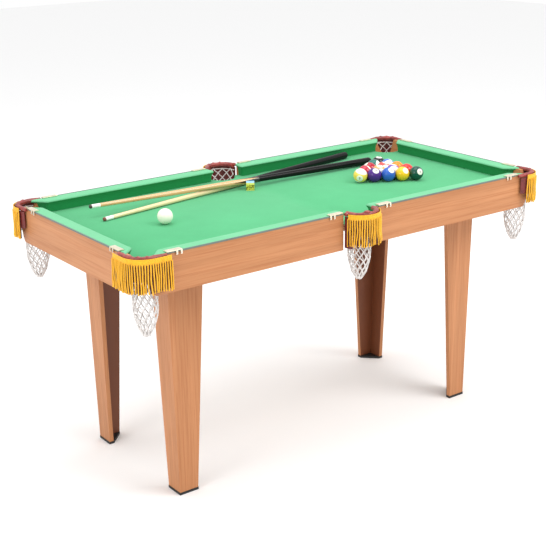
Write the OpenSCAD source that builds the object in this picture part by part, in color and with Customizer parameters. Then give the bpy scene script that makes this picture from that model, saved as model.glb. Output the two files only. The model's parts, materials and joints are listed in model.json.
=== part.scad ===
// Mini pool table: a veneered cabinet on four angle legs, six net pockets
// with leathered irons and gold fringe, and its balls, cues and chalk.
// Millimetres, +Z up, origin on the floor below the middle of the table.

/* [Cabinet] */
// Length over the end boards
table_l = 1220; // [1160:5:1260]
// Width over the side boards
table_w = 587; // [560:1:620]
// Height of the rail tops above the floor
rail_h = 642; // [620:1:700]
// Height of the side boards
board_h = 87.5; // [76:0.5:90]
// Thickness of the side boards
board_t = 10; // [8:0.5:11]

/* [Playing surface] */
// Depth of the cloth below the rail tops
bed_drop = 31; // [30:0.5:34]
// Thickness of the bed board
bed_t = 15; // [12:1:18]
// Thickness of the cloth
cloth_t = 1; // [0.5:0.1:1.5]
// Width of a rail from the outer face to the cushion nose
rail_w = 35; // [34:0.5:38]

/* [Pockets] */
// Corner pocket centre, in from each outer face
corner_in = 34; // [33:0.5:36]
// Side pocket centre, in from the outer face
side_in = 3.5; // [3:0.5:5]
// Radius of the iron's centre line
iron_r = 40.2; // [40:0.1:41]
// Radius of the leathered iron's own section
iron_tube_r = 6.1; // [5:0.1:6.1]
// Length of the fringe
fringe_h = 84; // [60:1:86]
// Depth of a corner net below the rail tops
net_drop = 192; // [150:1:230]

/* [Legs] */
// Leg corner from the table centre along the length, at the floor
leg_x = 471; // [440:1:480]
// Leg corner from the table centre across the width
leg_y = 196; // [180:1:210]
// How much farther out the corner is at the top
leg_splay = 12.6; // [8:0.1:16]
// Width of a wide leg board at the bottom and at the top
leg_wide = [51, 101];
// Width of a narrow leg board at the bottom and at the top
leg_narrow = [51, 69];
// Thickness of the leg boards
leg_t = 12; // [10:0.5:14]
// Height of the foot caps
foot_h = 6.5; // [4:0.5:9]

/* [Balls, cues and chalk] */
// Ball diameter
ball_d = 38; // [36:0.1:38.2]
// Turn of the rack about its front row (degrees)
rack_turn = -29.6; // [-35:0.1:-25]
// Middle of the rack's front row
rack_at = [318.5, -38.3];
// Cue ball place
cue_ball_at = [-368.7, -12.5];
// Cue radius at the tip, at the splice and at the butt
cue_r = [4.8, 7.8, 10.2];
// Length of the chalk cube's edge
chalk_w = 22; // [18:0.5:24]

/* [Hidden] */

gap = 0.3;
hx = table_l / 2;
hy = table_w / 2;
bed_top = rail_h - bed_drop;
bed_z = bed_top - cloth_t - bed_t;
board_top = rail_h - 3.5;
board_z = board_top - board_h;
in_x = hx - board_t;
in_y = hy - board_t;
hole_r = 38.5;
collar_room = 48.3;
collar_z = bed_z - 5;
round_fn = 96;
tube_fn = 48;

// Pockets: [x, y, outward direction, half angle of the fringe, net depth,
// corner pocket or not]
corner_x = hx - corner_in;
corner_y = hy - corner_in;
side_y = hy - side_in;
side_net = net_drop - 17;
side_arc = 72;
pocket_fl = [-corner_x, -corner_y, 225, 45, net_drop, true];
pocket_fm = [0, -side_y, 270, side_arc, side_net, false];
pocket_fr = [corner_x, -corner_y, 315, 57, net_drop, true];
pocket_bl = [-corner_x, corner_y, 135, 62, net_drop, true];
pocket_bm = [0, side_y, 90, side_arc, side_net, false];
pocket_br = [corner_x, corner_y, 45, 62, net_drop, true];
POCKETS = [pocket_fl, pocket_fm, pocket_fr, pocket_bl, pocket_bm, pocket_br];

// Ends of the rails: the nose, and where the mitred jaw meets the outer edge
side_end = 44;
long_end = 541;
short_end = 213;
jaw = 28;

// ---- bed ----

module pocket_holes(z, h) {
    for (p = POCKETS)
        translate([p[0], p[1], z]) {
            cylinder(h = h, r = hole_r, $fn = round_fn);
            rotate([0, 0, p[2]])
                intersection() {
                    cylinder(h = h, r = collar_room, $fn = round_fn);
                    translate([0, -100, 0]) cube([200, 200, h]);
                }
        }
}

module bed_layer(z, t) {
    difference() {
        translate([-in_x + gap, -in_y + gap, z])
            cube([2 * (in_x - gap), 2 * (in_y - gap), t]);
        pocket_holes(z - 1, t + 2);
    }
}

module bed_board() {
    color("tan") bed_layer(bed_z, bed_t);
}

module bed_cloth() {
    color("mediumseagreen") bed_layer(bed_top - cloth_t, cloth_t);
}

// ---- side boards ----

// Outline of a board's face from its start to its bowed, round-cornered end.
// The end is at top, middle and bottom, from the table's centre
module board_outline(start, top, middle, bottom) {
    r = 9;
    difference() {
        polygon([[start, board_z], [bottom, board_z], [middle, board_z + 39],
                 [top, board_top], [start, board_top]]);
        translate([bottom - r, board_z])
            difference() {
                translate([0, -1]) square([r + 4, r + 1]);
                translate([0, r]) circle(r = r, $fn = tube_fn);
            }
    }
}

// Room for the net at a board's end
module pocket_clearance() {
    for (p = POCKETS)
        translate([p[0], p[1], 0]) {
            translate([0, 0, board_z - 1])
                cylinder(h = bed_z - board_z - 13, r = net_r + 0.8, $fn = round_fn);
            translate([0, 0, bed_z - 14.5])
                cylinder(h = 14.3, r1 = net_r + 1.6, r2 = hole_r, $fn = round_fn);
        }
}

module long_board() {
    difference() {
        translate([0, hy, 0]) rotate([90, 0, 0])
            linear_extrude(board_t) board_outline(52, hx - 55, hx - 23, hx - 36);
        pocket_clearance();
    }
}

module end_board() {
    difference() {
        for (s = [0, 1]) mirror([0, s, 0])
            translate([hx, 0, 0]) rotate([90, 0, 90]) translate([0, 0, -board_t])
                linear_extrude(board_t) board_outline(-1, hy - 41, hy - 25, hy - 35);
        pocket_clearance();
    }
}

module veneer() {
    color("peru") children();
}

module board_front_left() {
    veneer() mirror([1, 0, 0]) mirror([0, 1, 0]) long_board();
}

module board_front_right() {
    veneer() mirror([0, 1, 0]) long_board();
}

module board_back_left() {
    veneer() mirror([1, 0, 0]) long_board();
}

module board_back_right() {
    veneer() long_board();
}

module board_left() {
    veneer() mirror([1, 0, 0]) end_board();
}

module board_right() {
    veneer() end_board();
}

// ---- rails ----

// Rail section: u is the distance in from the outer face
module rail_section() {
    polygon([[1, board_top + gap], [1, rail_h - 1], [2, rail_h], [rail_w - 8, rail_h],
             [rail_w - 2.5, rail_h - 1], [rail_w, rail_h - 3.8], [rail_w - 0.8, rail_h - 7.5],
             [rail_w - 4, rail_h - 13], [rail_w - 5, bed_top + gap],
             [board_t + gap, bed_top + gap], [board_t + gap, board_top + gap]]);
}

// Room for a side iron: its outer half ring
module iron_room() {
    for (p = [pocket_fm, pocket_bm])
        translate([p[0], p[1], rail_h - 40]) rotate([0, 0, p[2]])
            intersection() {
                cylinder(h = 60, r = iron_r + iron_tube_r + 6.7, $fn = round_fn);
                translate([-1, -100, 0]) cube([200, 200, 60]);
            }
}

module long_rail() {
    difference() {
        translate([0, hy, 0]) rotate([90, 0, 90])
            linear_extrude(hx) scale([-1, 1]) rail_section();
        translate([-1, hy - 60, 0]) cube([side_end + 1, 70, 700]);
        translate([0, 0, 500]) linear_extrude(200)
            polygon([[long_end, hy - rail_w], [long_end + jaw, hy - rail_w + jaw + 3],
                     [long_end + jaw, hy + 5], [hx + 5, hy + 5], [hx + 5, hy - rail_w - 5],
                     [long_end - 4.5, hy - rail_w - 5]]);
        iron_room();
    }
}

module end_rail_right() {
    difference() {
        translate([hx, -hy, 0]) rotate([90, 0, 180])
            linear_extrude(2 * hy) rail_section();
        for (s = [0, 1]) mirror([0, s, 0])
            translate([0, 0, 500]) linear_extrude(200)
                polygon([[hx - rail_w, short_end], [hx - rail_w + jaw + 3, short_end + jaw],
                         [hx + 5, short_end + jaw], [hx + 5, hy + 5], [hx - rail_w - 5, hy + 5],
                         [hx - rail_w - 5, short_end - 4.5]]);
    }
}

module rail_green() {
    color("mediumaquamarine") children();
}

module cushion_front_left() {
    rail_green() mirror([1, 0, 0]) mirror([0, 1, 0]) long_rail();
}

module cushion_front_right() {
    rail_green() mirror([0, 1, 0]) long_rail();
}

module cushion_back_left() {
    rail_green() mirror([1, 0, 0]) long_rail();
}

module cushion_back_right() {
    rail_green() long_rail();
}

module cushion_left() {
    rail_green() mirror([1, 0, 0]) end_rail_right();
}

module cushion_right() {
    rail_green() end_rail_right();
}

// Trim strip along the outer top edge of every rail
trim_t = 2;
trim_out = 1.2;
trim_long = [56, 538];
trim_short = 219;
trim_z = board_top + 0.2;
trim_top = rail_h + gap;

module rail_trim() {
    color("slategray")
        for (sx = [0, 1], sy = [0, 1]) mirror([sx, 0, 0]) mirror([0, sy, 0]) {
            translate([trim_long[0], hy - trim_t + trim_out, trim_z])
                cube([trim_long[1] - trim_long[0], trim_t, trim_top - trim_z]);
            if (sy == 0)
                translate([hx - trim_t + trim_out, -trim_short, trim_z])
                    cube([trim_t, 2 * trim_short, trim_top - trim_z]);
        }
}

// Glue strips that hold the boards to the bed from below
cleat = 18;

module board_cleats() {
    z = bed_z - cleat - gap;
    color("burlywood")
        for (sx = [0, 1], sy = [0, 1]) mirror([sx, 0, 0]) mirror([0, sy, 0]) {
            translate([60, in_y - cleat - gap, z]) cube([460, cleat, cleat]);
            if (sy == 0)
                translate([in_x - cleat - gap, -200, z]) cube([cleat, 400, cleat]);
        }
}

// ---- legs ----

leg_top = bed_z - gap;
block_w = 46;
block_h = bed_z - board_z - 2 * gap;
block_in = 1.5;
bolt_r = 3;
bolt_z = [bed_z - 14, bed_z - 30];

// Half-space profile of the leaning outer face, x against z
module lean_outline(t) {
    polygon([[leg_x - t, foot_h], [leg_x, foot_h],
             [leg_x + leg_splay, leg_top], [leg_x + leg_splay - t, leg_top]]);
}

module wide_leg_board() {
    translate([0, leg_y, 0]) rotate([90, 0, 0])
        linear_extrude(leg_t)
            polygon([[leg_x - leg_wide[0], foot_h], [leg_x, foot_h],
                     [leg_x + leg_splay, leg_top], [leg_x + leg_splay - leg_wide[1], leg_top]]);
}

module narrow_leg_board() {
    intersection() {
        translate([0, leg_y, 0]) rotate([90, 0, 0])
            linear_extrude(leg_narrow[1] + 10) lean_outline(leg_t);
        rotate([90, 0, 90])
            linear_extrude(hx)
                polygon([[leg_y - leg_narrow[0], foot_h], [leg_y - leg_t - 0.1, foot_h],
                         [leg_y - leg_t - 0.1, leg_top], [leg_y - leg_narrow[1], leg_top]]);
    }
}

// Where the two bolts of a leg run: along X through the narrow board's side,
// and along Y through the wide board's side
block_x = leg_x + leg_splay - 2 - leg_t - block_in - block_w;
block_y = leg_y - leg_t - block_in - block_w;

module bolt_holes(r) {
    translate([block_x - 1, block_y + block_w / 2, bolt_z[0]])
        rotate([0, 90, 0]) cylinder(h = block_w + 10, r = r, $fn = 32);
    translate([block_x + block_w / 2, block_y - 1, bolt_z[1]])
        rotate([-90, 0, 0]) cylinder(h = block_w + 10, r = r, $fn = 32);
}

module leg() {
    difference() {
        union() {
            wide_leg_board();
            narrow_leg_board();
        }
        bolt_holes(bolt_r + 0.2);
    }
}

module each_leg() {
    for (sx = [0, 1], sy = [0, 1]) mirror([sx, 0, 0]) mirror([0, sy, 0]) children();
}

module leg_front_left() {
    veneer() mirror([1, 0, 0]) mirror([0, 1, 0]) leg();
}

module leg_front_right() {
    veneer() mirror([0, 1, 0]) leg();
}

module leg_back_left() {
    veneer() mirror([1, 0, 0]) leg();
}

module leg_back_right() {
    veneer() leg();
}

module foot_caps() {
    color("black") each_leg()
        linear_extrude(foot_h - 0.05)
            polygon([[leg_x + 0.6, leg_y + 0.6], [leg_x - leg_wide[0] - 0.6, leg_y + 0.6],
                     [leg_x - leg_wide[0] - 0.6, leg_y - leg_t - 1],
                     [leg_x - leg_t - 1, leg_y - leg_narrow[0] - 0.6],
                     [leg_x + 0.6, leg_y - leg_narrow[0] - 0.6]]);
}

module leg_blocks() {
    color("burlywood") each_leg()
        difference() {
            translate([block_x, block_y, board_z + gap]) cube([block_w, block_w, block_h]);
            bolt_holes(bolt_r + 0.2);
        }
}

module hex_bolt(length) {
    cylinder(h = length, r = bolt_r, $fn = 32);
    translate([0, 0, -4]) cylinder(h = 4, r = 5.8, $fn = 6);
}

module leg_bolts() {
    color("silver") each_leg() {
        translate([block_x - gap, block_y + block_w / 2, bolt_z[0]])
            rotate([0, 90, 0]) hex_bolt(block_w + 8);
        translate([block_x + block_w / 2, block_y - gap, bolt_z[1]])
            rotate([-90, 0, 0]) hex_bolt(block_w + 8);
    }
}

// ---- pockets ----

iron_z = rail_h - 3.5;

// A pocket's frame: +X is outward
module at_pocket(p) {
    translate([p[0], p[1], 0]) rotate([0, 0, p[2]]) children();
}

// Part ring about Z, half angle a each side of +X
module part_ring(a) {
    rotate([0, 0, -a]) rotate_extrude(angle = 2 * a, $fn = round_fn) children();
}

// A corner iron's arms run this far past the pocket centre, along the boards
arm_l = 35.4;
arm_r = 4.5;
knuckle_r = 5;

// Tapered arm along +Y from the end of a ring, its inner side straight
module arm(x, y, length, lean) {
    translate([x, y, 0]) rotate([-90, 0, -lean])
        cylinder(h = length, r1 = iron_tube_r, r2 = arm_r, $fn = tube_fn);
}

module corner_iron() {
    part_ring(45) translate([iron_r, 0]) circle(r = iron_tube_r, $fn = tube_fn);
    for (s = [0, 1]) mirror([0, s, 0])
        rotate([0, 0, 45]) arm(iron_r, -0.01, arm_l, -2.6);
}

module side_iron() {
    part_ring(88) translate([iron_r, 0]) circle(r = iron_tube_r, $fn = tube_fn);
    for (s = [0, 1]) mirror([0, s, 0]) arm(5.4, iron_r - 0.5, 10.6, 6);
}

module iron(p) {
    color("firebrick") at_pocket(p) translate([0, 0, iron_z]) {
        if (p[5]) corner_iron();
        else side_iron();
        for (a = [-27, 0, 27]) rotate([0, 0, a])
            translate([iron_r, 0, iron_tube_r - knuckle_r + 1.2])
                sphere(r = knuckle_r, $fn = tube_fn);
    }
}

// The front middle iron has a stitched lump beside its middle knuckle
module iron_lump() {
    color("firebrick") at_pocket(pocket_fm) rotate([0, 0, -15])
        translate([iron_r, 0, iron_z + 6]) {
            rotate([90, 0, 0]) translate([0, 0, -4]) cylinder(h = 8, r = 5, $fn = tube_fn);
            for (y = [-4, 4]) translate([0, y, 0]) sphere(r = 5, $fn = tube_fn);
        }
}

module iron_front_left() { iron(pocket_fl); }
module iron_front_middle() { union() { iron(pocket_fm); iron_lump(); } }
module iron_front_right() { iron(pocket_fr); }
module iron_back_left() { iron(pocket_bl); }
module iron_back_middle() { iron(pocket_bm); }
module iron_back_right() { iron(pocket_br); }

collar_r = [44, 47.5];
collar_a = 78;
collar_top = iron_z - iron_tube_r - gap;
// A side collar's ends reach round to the boards and hang lower
flap_a = [60, 87];
flap_z = board_z + 5;

module collar_ring(a, z) {
    translate([0, 0, z]) part_ring(a)
        translate([collar_r[0], 0]) square([collar_r[1] - collar_r[0], collar_top - z]);
}

module pocket_collars() {
    color("darkred")
        for (p = POCKETS) at_pocket(p)
            if (p[5]) collar_ring(collar_a, collar_z);
            else
                difference() {
                    collar_ring(flap_a[1], flap_z);
                    translate([0, 0, flap_z - 5]) part_ring(flap_a[0])
                        translate([collar_r[0] - 5, 0])
                            square([collar_r[1] - collar_r[0] + 10, collar_z - flap_z + 5]);
                }
}

fringe_r = [48.6, 55];
fringe_t = 2.1;
fringe_top = rail_h - 1;
// The front left fringe also runs along its iron's arms
fringe_arm = 41;

module fringe_line() {
    polygon([[fringe_r[0], fringe_top], [fringe_r[0] + fringe_t, fringe_top],
             [fringe_r[1], fringe_top - fringe_h],
             [fringe_r[1] - fringe_t, fringe_top - fringe_h]]);
}

module pocket_fringes() {
    color("gold")
        for (p = POCKETS) at_pocket(p) {
            part_ring(p[3]) fringe_line();
            if (p[3] == 45)
                for (s = [0, 1]) mirror([0, s, 0]) rotate([90, 0, 45])
                    translate([0, 0, -fringe_arm]) linear_extrude(fringe_arm) fringe_line();
        }
}

// Net bag: a thin open shell, wide where it hangs inside the collar, straight
// past the boards and closed at the foot
net_t = 1.2;
net_r = 30;
net_top = rail_h - 15;

function net_line(depth, t) = [
    [42.5 - t, net_top], [37.5 - t, bed_z - 1], [net_r + 3 - t, bed_z - 8],
    [net_r - t, bed_z - 16], [net_r - 1 - t, rail_h - depth + 55],
    [20 - t, rail_h - depth + 22], [5 - t, rail_h - depth + t],
];

module net(p) {
    outer = net_line(p[4], 0);
    inner = net_line(p[4], net_t);
    last = len(outer) - 1;
    color("white") translate([p[0], p[1], 0]) rotate([0, 0, p[2]])
        difference() {
            rotate_extrude($fn = round_fn)
                polygon(concat([[0, outer[last][1]]], [for (i = [last:-1:0]) outer[i]], inner,
                               [[0, inner[last][1]]]));
            x = p[5] ? 30 : 0;
            translate([0, 0, bed_z - 1]) linear_extrude(60)
                polygon([[0, 0], [x, 67.4], [-80, 67.4], [-80, -67.4], [x, -67.4]]);
        }
}

module net_front_left() { net(pocket_fl); }
module net_front_middle() { net(pocket_fm); }
module net_front_right() { net(pocket_fr); }
module net_back_left() { net(pocket_bl); }
module net_back_middle() { net(pocket_bm); }
module net_back_right() { net(pocket_br); }

// Flat straps from the iron's ends over the rail edge, with two turned-down prongs
strap_t = 2.2;
strap_z = rail_h + 0.5;
strap_in = 10.5;
strap_l = 40;
tab_w = 4.6;
tab_h = 9;
tab_out = 3.4;
tab_at = [strap_l - 16, strap_l - tab_w];

// One strap running along +X from 0; the outer face of the cabinet is y = 0
module strap() {
    translate([0, -strap_in, strap_z]) cube([strap_l, strap_in + tab_out, strap_t]);
    for (x = tab_at)
        translate([x, tab_out - 1.8, strap_z - tab_h]) cube([tab_w, 1.8, tab_h + 0.1]);
}

module tab_screws() {
    for (x = tab_at)
        translate([x + tab_w / 2, tab_out + 0.05, strap_z - tab_h + 3])
            rotate([-90, 0, 0]) cylinder(h = 1.2, r = 1.7, $fn = 32);
}

// Every strap place: beside the side pockets, and both ways from each corner
module each_strap() {
    for (sx = [0, 1], sy = [0, 1]) mirror([sx, 0, 0]) mirror([0, sy, 0]) {
        translate([55, hy, 0]) children();
        translate([540, hy, 0]) mirror([1, 0, 0]) children();
        translate([hx, 223, 0]) rotate([0, 0, -90]) children();
    }
}

module iron_straps() {
    color("palegoldenrod") each_strap() strap();
}

module strap_screws() {
    color("gainsboro") each_strap() tab_screws();
}

// ---- balls ----

pitch = ball_d + gap;
ball_z = bed_top + ball_d / 2 + gap;

// Place in the rack: row 0 is the row of five, row 4 the apex
module racked(row, place) {
    along_row = (place - (4 - row) / 2) * pitch;
    translate([rack_at[0], rack_at[1], ball_z]) rotate([0, 0, rack_turn])
        translate([along_row, row * pitch * sqrt(3) / 2, 0]) sphere(d = ball_d, $fn = 64);
}

module cue_ball() {
    color("ivory") translate([cue_ball_at[0], cue_ball_at[1], ball_z])
        sphere(d = ball_d, $fn = 64);
}

module ball_1() { color("gold") racked(0, 3); }
module ball_2() { color("royalblue") racked(0, 2); }
module ball_3() { color("red") racked(1, 3); }
module ball_4() { color("indigo") racked(0, 1); }
module ball_5() { color("orange") racked(2, 2); }
module ball_6() { color("darkgreen") racked(0, 4); }
module ball_7() { color("crimson") racked(2, 0); }
module ball_8() { color("black") racked(4, 0); }
module ball_9() { color("khaki") racked(0, 0); }
module ball_10() { color("cornflowerblue") racked(3, 1); }
module ball_11() { color("tomato") racked(2, 1); }
module ball_12() { color("mediumpurple") racked(1, 2); }
module ball_13() { color("sandybrown") racked(1, 1); }
module ball_14() { color("teal") racked(3, 0); }
module ball_15() { color("firebrick") racked(1, 0); }

// ---- cues and chalk ----

// Cue 1 lies over cue 2; each place is the tip's and the butt end's centre
cue_1_tip = [-481, 155, 637.8];
cue_1_end = [416, 145.5, 621.6];
cue_2_tip = [-473, 101.4, 616.2];
cue_2_end = [412, 246.8, 621.6];
splice = 0.56;
tip_l = 5;
ferrule_l = 24;

// Turns +Z along the line from a to b and moves it to a
module along(a, b) {
    d = b - a;
    yaw = atan2(d[1], d[0]);
    fall = acos(d[2] / norm(d));
    translate(a) rotate([0, 0, yaw]) rotate([0, fall, 0]) children();
}

module cue_shaft(a, b) {
    length = norm(b - a);
    color("wheat") along(a, b)
        rotate_extrude($fn = tube_fn)
            polygon([[0, 0], [cue_r[0] - 1, 0], [cue_r[0], tip_l / 2],
                     [cue_r[0] + 0.2, ferrule_l + tip_l], [cue_r[1], splice * length],
                     [0, splice * length]]);
}

module cue_butt(a, b) {
    length = norm(b - a);
    r = cue_r[2];
    color("black") along(a, b)
        rotate_extrude($fn = tube_fn)
            union() {
                polygon([[0, splice * length + 0.05], [cue_r[1], splice * length + 0.05],
                         [r, length - r], [0, length - r]]);
                translate([0, length - r]) intersection() {
                    circle(r = r, $fn = tube_fn);
                    translate([0, -1]) square([r, r + 1]);
                }
            }
}

module cue_1_shaft() { cue_shaft(cue_1_tip, cue_1_end); }
module cue_1_butt() { cue_butt(cue_1_tip, cue_1_end); }
module cue_2_shaft() { cue_shaft(cue_2_tip, cue_2_end); }
module cue_2_butt() { cue_butt(cue_2_tip, cue_2_end); }

chalk_at = [-21, 125.6];
chalk_turn = -35;
dimple_r = 14;
dimple_d = 1.5;

module chalk() {
    color("lightskyblue") translate([chalk_at[0], chalk_at[1], bed_top + gap])
        rotate([0, 0, chalk_turn])
            difference() {
                translate([-chalk_w / 2, -chalk_w / 2, 0]) cube(chalk_w);
                translate([0, 0, chalk_w + dimple_r - dimple_d])
                    sphere(r = dimple_r, $fn = tube_fn);
            }
}

bed_board();
bed_cloth();
board_front_left();
board_front_right();
board_back_left();
board_back_right();
board_left();
board_right();
cushion_front_left();
cushion_front_right();
cushion_back_left();
cushion_back_right();
cushion_left();
cushion_right();
rail_trim();
board_cleats();
leg_front_left();
leg_front_right();
leg_back_left();
leg_back_right();
foot_caps();
leg_blocks();
leg_bolts();
iron_front_left();
iron_front_middle();
iron_front_right();
iron_back_left();
iron_back_middle();
iron_back_right();
pocket_collars();
net_front_left();
net_front_middle();
net_front_right();
net_back_left();
net_back_middle();
net_back_right();
pocket_fringes();
iron_straps();
strap_screws();
cue_ball();
ball_1();
ball_2();
ball_3();
ball_4();
ball_5();
ball_6();
ball_7();
ball_8();
ball_9();
ball_10();
ball_11();
ball_12();
ball_13();
ball_14();
ball_15();
cue_1_shaft();
cue_1_butt();
cue_2_shaft();
cue_2_butt();
chalk();
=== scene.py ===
"""Mini pool table: its finishes, cloth, cushions, nets, fringe, balls and cues."""
import json
import math
import random
import bmesh
import bpy
import numpy as np
from mathutils import Matrix, Vector

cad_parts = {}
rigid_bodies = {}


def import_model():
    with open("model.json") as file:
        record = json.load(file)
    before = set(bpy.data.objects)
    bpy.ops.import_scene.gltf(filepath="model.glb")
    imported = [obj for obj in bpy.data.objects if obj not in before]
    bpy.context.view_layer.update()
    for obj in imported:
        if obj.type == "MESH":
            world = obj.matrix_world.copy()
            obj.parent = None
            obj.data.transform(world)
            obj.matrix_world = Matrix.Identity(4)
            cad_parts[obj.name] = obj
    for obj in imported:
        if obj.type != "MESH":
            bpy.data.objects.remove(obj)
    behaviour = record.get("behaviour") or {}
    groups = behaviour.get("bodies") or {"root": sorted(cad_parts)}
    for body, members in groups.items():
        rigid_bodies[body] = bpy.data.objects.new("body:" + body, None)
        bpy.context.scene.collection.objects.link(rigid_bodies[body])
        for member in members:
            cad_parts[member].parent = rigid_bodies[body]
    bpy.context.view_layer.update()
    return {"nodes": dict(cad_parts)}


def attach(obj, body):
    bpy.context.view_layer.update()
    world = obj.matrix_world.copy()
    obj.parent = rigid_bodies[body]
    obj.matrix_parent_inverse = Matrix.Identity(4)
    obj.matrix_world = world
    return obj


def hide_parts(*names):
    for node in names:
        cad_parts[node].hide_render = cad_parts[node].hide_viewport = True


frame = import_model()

# Cabinet measures, in metres
TABLE_L, TABLE_W, RAIL_H = 1.220, 0.587, 0.642
HALF_L, HALF_W = TABLE_L / 2, TABLE_W / 2
BED_TOP = 0.611
RAIL_W = 0.035
CORNER_X, CORNER_Y, SIDE_Y = 0.576, 0.2595, 0.290
IRON_Z, IRON_R, IRON_TUBE = 0.6385, 0.0402, 0.0061

POCKETS = {
    "front_left": (-CORNER_X, -CORNER_Y, 225),
    "front_middle": (0.0, -SIDE_Y, 270),
    "front_right": (CORNER_X, -CORNER_Y, 315),
    "back_left": (-CORNER_X, CORNER_Y, 135),
    "back_middle": (0.0, SIDE_Y, 90),
    "back_right": (CORNER_X, CORNER_Y, 45),
}


# ---- shader helpers ----

class Finish:
    """One material's node tree, with short calls for the nodes used here."""

    def __init__(self, name, rough=0.5, metal=0.0, color=(0.8, 0.8, 0.8), spec=0.5):
        self.mat = bpy.data.materials.new(name)
        self.mat.use_nodes = True
        self.tree = self.mat.node_tree
        self.bsdf = self.tree.nodes["Principled BSDF"]
        self.bsdf.inputs["Base Color"].default_value = (*color, 1)
        self.bsdf.inputs["Roughness"].default_value = rough
        self.bsdf.inputs["Metallic"].default_value = metal
        self.bsdf.inputs["Specular IOR Level"].default_value = spec
        self.coord = self.tree.nodes.new("ShaderNodeTexCoord")

    def add(self, kind, **settings):
        n = self.tree.nodes.new(kind)
        for k, v in settings.items():
            setattr(n, k, v)
        return n

    def link(self, a, b):
        self.tree.links.new(a, b)

    def object_coord(self, scale=(1, 1, 1), turn=(0, 0, 0), place=(0, 0, 0)):
        m = self.add("ShaderNodeMapping")
        m.inputs["Scale"].default_value = scale
        m.inputs["Rotation"].default_value = turn
        m.inputs["Location"].default_value = place
        self.link(self.coord.outputs["Object"], m.inputs["Vector"])
        return m.outputs["Vector"]

    def uv(self, scale=(1, 1, 1)):
        m = self.add("ShaderNodeMapping")
        m.inputs["Scale"].default_value = scale
        self.link(self.coord.outputs["UV"], m.inputs["Vector"])
        return m.outputs["Vector"]

    def noise(self, vector, scale, detail=4.0, rough=0.55, distort=0.0):
        n = self.add("ShaderNodeTexNoise")
        n.inputs["Scale"].default_value = scale
        n.inputs["Detail"].default_value = detail
        n.inputs["Roughness"].default_value = rough
        n.inputs["Distortion"].default_value = distort
        self.link(vector, n.inputs["Vector"])
        return n.outputs["Fac"]

    def voronoi(self, vector, scale, feature="F1"):
        n = self.add("ShaderNodeTexVoronoi", feature=feature)
        n.inputs["Scale"].default_value = scale
        self.link(vector, n.inputs["Vector"])
        return n.outputs["Distance"]

    def ramp(self, fac, stops, mode="LINEAR"):
        n = self.add("ShaderNodeValToRGB")
        n.color_ramp.interpolation = mode
        e = n.color_ramp.elements
        while len(e) < len(stops):
            e.new(0.5)
        for i, (p, c) in enumerate(stops):
            e[i].position = p
            e[i].color = (*c, 1) if len(c) == 3 else c
        self.link(fac, n.inputs["Fac"])
        return n.outputs["Color"]

    def mix(self, fac, a, b, blend="MIX"):
        n = self.add("ShaderNodeMix", data_type="RGBA", blend_type=blend)
        for socket, value in ((n.inputs[0], fac), (n.inputs[6], a), (n.inputs[7], b)):
            if hasattr(value, "links"):
                self.link(value, socket)
            elif isinstance(value, tuple):
                socket.default_value = (*value, 1)
            else:
                socket.default_value = value
        return n.outputs[2]

    def math(self, op, a, b=0.0, clamp=False):
        n = self.add("ShaderNodeMath", operation=op, use_clamp=clamp)
        for socket, value in ((n.inputs[0], a), (n.inputs[1], b)):
            if hasattr(value, "links"):
                self.link(value, socket)
            else:
                socket.default_value = value
        return n.outputs[0]

    def xyz(self, vector):
        n = self.add("ShaderNodeSeparateXYZ")
        self.link(vector, n.inputs[0])
        return n.outputs

    def color(self, out):
        self.link(out, self.bsdf.inputs["Base Color"])

    def roughness(self, out):
        self.link(out, self.bsdf.inputs["Roughness"])

    def bump(self, height, strength=0.3, distance=0.001):
        n = self.add("ShaderNodeBump")
        n.inputs["Strength"].default_value = strength
        n.inputs["Distance"].default_value = distance
        self.link(height, n.inputs["Height"])
        prev = self.bsdf.inputs["Normal"].links
        if prev:
            self.link(prev[0].from_socket, n.inputs["Normal"])
        self.link(n.outputs["Normal"], self.bsdf.inputs["Normal"])


# ---- finishes ----

def veneer(name, grain, light=(0.53, 0.232, 0.096), dark=(0.40, 0.140, 0.047), inside_shade=None):
    """Printed beech veneer. grain is the axis that the figure runs along. If a mask is given, the
    faces it marks get a dark brown painted shade.
    """
    f = Finish(name, rough=0.42, spec=0.35)
    along = {"x": (2.0, 90, 90), "y": (90, 2.0, 90), "z": (90, 90, 2.0)}[grain]
    fine = f.noise(f.object_coord(along), 2.6, detail=6, rough=0.65, distort=0.4)
    broad_scale = tuple(s * 0.16 if s > 50 else s * 0.35 for s in along)
    broad = f.noise(f.object_coord(broad_scale), 1.5, detail=3, rough=0.5, distort=1.2)
    pores = f.noise(f.object_coord(tuple(s * 5 if s > 50 else s * 6 for s in along)), 1.4, 2)
    streak = f.ramp(fine, [(0.36, dark), (0.54, light)])
    tone = f.ramp(broad, [(0.3, (0.84, 0.80, 0.76)), (0.7, (1.06, 1.06, 1.08))])
    body = f.mix(0.55, light, streak)
    body = f.mix(1.0, body, tone, "MULTIPLY")
    dots = f.ramp(pores, [(0.66, (1, 1, 1)), (0.74, (0.80, 0.74, 0.70))])
    body = f.mix(0.6, body, f.mix(1.0, body, dots, "MULTIPLY"))
    if inside_shade:
        # Painted shade: dark brown on the faces inside a leg's angle
        body = f.mix(inside_shade(f), body, (0.17, 0.052, 0.020))
    f.color(body)
    f.roughness(f.ramp(fine, [(0.3, (0.50,) * 3), (0.7, (0.38,) * 3)]))
    f.bump(fine, 0.12, 0.0004)
    return f.mat


def leg_inside(f):
    """1 on the two faces inside a leg's angle, where the veneer gets painted shade, 0 on its outer
    faces and edges.
    """
    p = f.xyz(f.coord.outputs["Object"])
    ax = f.math("ABSOLUTE", p[0])
    ay = f.math("ABSOLUTE", p[1])
    lean = f.math("MULTIPLY", p[2], 0.0214)
    reach = f.math("SUBTRACT", ax, lean)
    return f.math("MULTIPLY", f.math("LESS_THAN", ay, 0.1843), f.math("LESS_THAN", reach, 0.4597))


def leg_finish():
    return veneer("leg_veneer", "z", inside_shade=leg_inside)


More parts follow.
